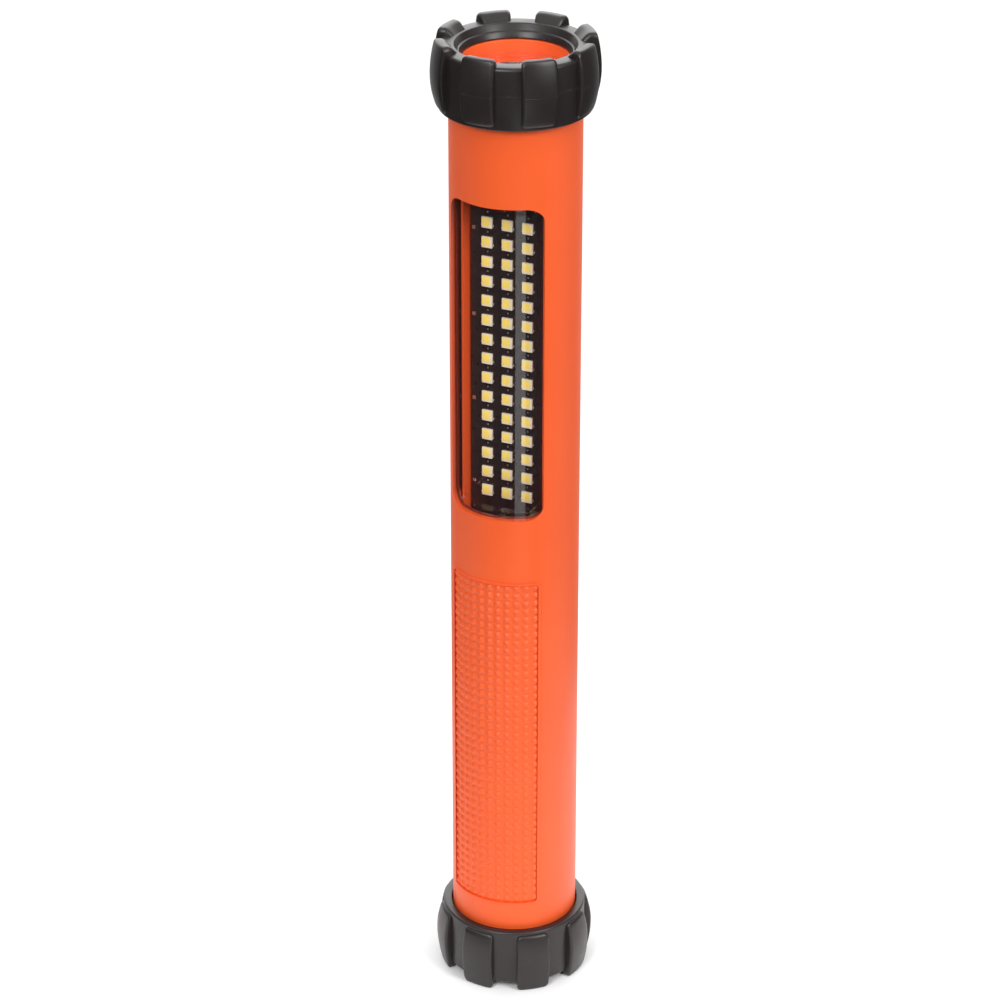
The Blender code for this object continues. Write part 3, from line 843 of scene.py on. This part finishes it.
black_mask = board_mask("black_solder_mask", (0.016, 0.008, 0.009), (0.028, 0.017, 0.018))

shape = bmesh.new()
made = bmesh.ops.create_cube(shape, size=1.0)["verts"]
board_size = Vector((2 * board_high.x, board_high.y - board_face, board_high.z - board_low.z))
bmesh.ops.scale(shape, vec=board_size, verts=made)
board_middle = Vector((0.0, (board_high.y + board_face) / 2, (board_high.z + board_low.z) / 2))
bmesh.ops.translate(shape, vec=board_middle, verts=made)
bmesh.ops.bevel(
    shape, geom=shape.edges[:], offset=0.1 * MM, segments=1, profile=0.5, affect="EDGES", material=-1
)
led_board = new_object("led_circuit_board", shape, black_mask)
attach(led_board, "body")
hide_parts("led_board")


def led_places():
    for row in range(led_rows):
        for column in range(led_columns):
            x = (column - (led_columns - 1) / 2) * column_pitch
            z = led_centre + (row - (led_rows - 1) / 2) * row_pitch
            yield x, z


def scatter(name, places, size, material, rounding=0.0, sink=0.0):
    """A small block at each place on the board's face, with its front edges rounded."""
    shape = bmesh.new()
    width, depth, height = size
    for x, z in places:
        made = bmesh.ops.create_cube(shape, size=1.0)["verts"]
        bmesh.ops.scale(shape, vec=(width, depth, height), verts=made)
        bmesh.ops.translate(shape, vec=(x, board_face - depth / 2 + sink, z), verts=made)
    if rounding:
        bmesh.ops.bevel(
            shape,
            geom=shape.edges[:],
            offset=rounding,
            segments=2,
            profile=0.5,
            affect="EDGES",
            material=-1,
        )
    piece = shade(new_object(name, shape, material))
    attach(piece, "body")
    return piece


led_body = moulded_plastic(
    "led_package", (0.84, 0.74, 0.56), (0.90, 0.82, 0.66), 0.4, 3000.0, 0.01 * MM
)
led_phosphor = moulded_plastic(
    "led_phosphor", (0.93, 0.70, 0.13), (0.98, 0.79, 0.21), 0.3, 4000.0, 0.01 * MM
)


def bare_metal(name, dark, light, roughness, grain):
    material, inputs, start = new_material(name)
    inputs["Metallic"].default_value = 1.0
    connect(mix_colours(start, noise(start, 90.0, 5.0), dark, light), inputs["Base Color"])
    connect(roughness - 0.05 + 0.1 * noise(start, 260.0, 4.0), inputs["Roughness"])
    connect(bumped(start, noise(start, grain, 2.0), 0.01 * MM, 0.3), inputs["Normal"])
    return material


solder = bare_metal("solder", (0.66, 0.66, 0.66), (0.82, 0.82, 0.80), 0.3, 2500.0)

scatter("led_packages", led_places(), (led_width, led_stand, led_height), led_body, 0.12 * MM)
scatter(
    "led_phosphors",
    [(x - 0.25 * MM, z + 0.2 * MM) for x, z in led_places()],
    (2.6 * MM, led_stand + 0.03 * MM, 2.7 * MM),
    led_phosphor,
    0.1 * MM,
)
# The LEDs are not lit, yet a faint glow is put on the phosphor and its package: this is painted light,
# to brighten them behind the window cover.
for painted_glow_material, strength in ((led_body, 0.1), (led_phosphor, 0.18)):
    glow_inputs = painted_glow_material.node_tree.nodes["Principled BSDF"].inputs
    own_colour = glow_inputs["Base Color"].links[0].from_socket
    painted_glow_material.node_tree.links.new(own_colour, glow_inputs["Emission Color"])
    glow_inputs["Emission Strength"].default_value = strength

pad_places = [(x + side * 1.85 * MM, z - 1.0 * MM) for x, z in led_places() for side in (-1, 1)]
scatter("solder_joints", pad_places, (0.6 * MM, 0.3 * MM, 0.7 * MM), solder, 0.1 * MM)
dot_places = [(x, z + row_pitch / 2) for x, z in led_places()]
scatter("test_dots", dot_places, (0.55 * MM, 0.08 * MM, 0.55 * MM), solder, 0.03 * MM)
edge_pitch = 28.0 * MM
edge_places = [(-11.2 * MM, led_centre + (i - 1.5) * edge_pitch) for i in range(4)]
scatter("edge_pads", edge_places, (1.1 * MM, 0.1 * MM, 1.1 * MM), solder, 0.03 * MM)


# The head bezel: an orange ring that screws into the top of the tube and holds the torch's lens on a
# ledge. Its spigot has a thread and a groove for the seal.

head_depths = [
    (15.6, 6.7, 0.2),
    (21.4, 6.7, 0.2),
    (21.4, 8.6, 0.2),
    (16.7, 8.6, 0.0),
    (16.7, 13.5, 0.15),
    (15.2, 13.5, 0.0),
    (15.2, 15.5, 0.0),
    (16.7, 15.5, 0.15),
    (16.7, 19.6, 0.2),
    (13.2, 19.6, 0.2),
    (13.2, 12.1, 0.15),
    (15.6, 12.1, 0.0),
]


def from_top(corners):
    return [(radius * MM, length - depth * MM, rounding * MM) for radius, depth, rounding in corners]


bezel = spun("head_bezel_ring", rounded(from_top(head_depths), 3), orange_plastic)
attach(bezel, "head_ring")
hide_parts("head_bezel")


# The torch's lens: a thick clear disc that sits on the bezel's ledge, with a polished edge.

lens_low, lens_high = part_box("torch_lens")
lens_disc = spun(
    "torch_lens_disc",
    rounded([
        (0.0, lens_high.z, 0.0),
        (lens_high.x, lens_high.z, 0.3 * MM),
        (lens_high.x, lens_low.z, 0.3 * MM),
        (0.0, lens_low.z, 0.0),
    ]),
    clear_polycarbonate,
)
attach(lens_disc, "head_lens")
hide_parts("torch_lens")


# The torch's reflector: a thin plated bowl, with a hole in its base for the LED's dome.

bowl_low, bowl_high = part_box("torch_reflector")
bowl_wall = 0.8 * MM
bowl_rim = bowl_high.x - bowl_wall
bowl_throat = 3.4 * MM
bowl_depth = bowl_high.z - bowl_low.z
bowl_steps = 24

plated, plated_inputs, start = new_material("plated_reflector")
plated_inputs["Metallic"].default_value = 1.0
connect(
    mix_colours(start, noise(start, 120.0), (0.84, 0.84, 0.86), (0.93, 0.93, 0.94)),
    plated_inputs["Base Color"],
)
connect(0.04 + 0.06 * noise(start, 300.0, 4.0), plated_inputs["Roughness"])

bowl = []
for i in range(bowl_steps + 1):
    radius = bowl_throat + (bowl_rim - bowl_throat) * i / bowl_steps
    rise = (radius ** 2 - bowl_throat ** 2) / (bowl_rim ** 2 - bowl_throat ** 2)
    bowl.append((radius, bowl_low.z + bowl_depth * rise))
bowl_outside = [(radius + bowl_wall, height) for radius, height in reversed(bowl)]
reflector = spun("reflector_bowl", bowl_outside + bowl, plated)
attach(reflector, "body")
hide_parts("torch_reflector")


# The carried-over pieces: the solids inside the light and the switch keep their shape and take the
# finish of the real material.

brushed_aluminium = bare_metal("turned_aluminium", (0.60, 0.61, 0.63), (0.72, 0.73, 0.74), 0.36, 1800.0)
nickel = bare_metal("nickel_plate", (0.58, 0.57, 0.54), (0.70, 0.69, 0.66), 0.26, 1500.0)
black_moulding = moulded_plastic(
    "black_moulding", (0.020, 0.020, 0.021), (0.030, 0.030, 0.031), 0.46, 2200.0, 0.02 * MM
)
seal_black = rubber("seal_ring_rubber", (0.014, 0.014, 0.014), (0.022, 0.022, 0.022), 0.35, 1800.0)
button_rubber = rubber("button_rubber", (0.016, 0.015, 0.015), (0.024, 0.022, 0.022), 0.5, 1900.0)
green_mask = board_mask("green_solder_mask", (0.008, 0.075, 0.026), (0.014, 0.115, 0.042))
cell_wrap = moulded_plastic("cell_wrap", (0.10, 0.11, 0.14), (0.13, 0.14, 0.18), 0.3, 2000.0, 0.01 * MM)
red_insulation = moulded_plastic(
    "red_insulation", (0.50, 0.02, 0.014), (0.58, 0.028, 0.02), 0.4, 2500.0, 0.01 * MM
)
black_insulation = moulded_plastic(
    "black_insulation", (0.014, 0.014, 0.014), (0.02, 0.02, 0.02), 0.4, 2500.0, 0.01 * MM
)

finishes = {
    "heat_spreader": brushed_aluminium,
    "torch_heat_sink": brushed_aluminium,
    "chassis": black_moulding,
    "contact_insulator": black_moulding,
    "switch_block": black_moulding,
    "switch_bezel": black_moulding,
    "tail_cap": black_moulding,
    "switch_button": button_rubber,
    "head_seal": seal_black,
    "tail_seal": seal_black,
    "driver_board": green_mask,
    "torch_emitter": black_mask,
    "cell_lower": cell_wrap,
    "cell_upper": cell_wrap,
    "torch_lead_red": red_insulation,
    "torch_lead_black": black_insulation,
    "battery_contact": nickel,
    "earth_strip": nickel,
    "tail_contact": nickel,
    "tail_spring": nickel,
    "tray_screw_1": nickel,
    "tray_screw_2": nickel,
    "tray_screw_3": nickel,
    "tray_screw_4": nickel,
}
for node, material in finishes.items():
    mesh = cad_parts[node].data
    mesh.materials.clear()
    mesh.materials.append(material)
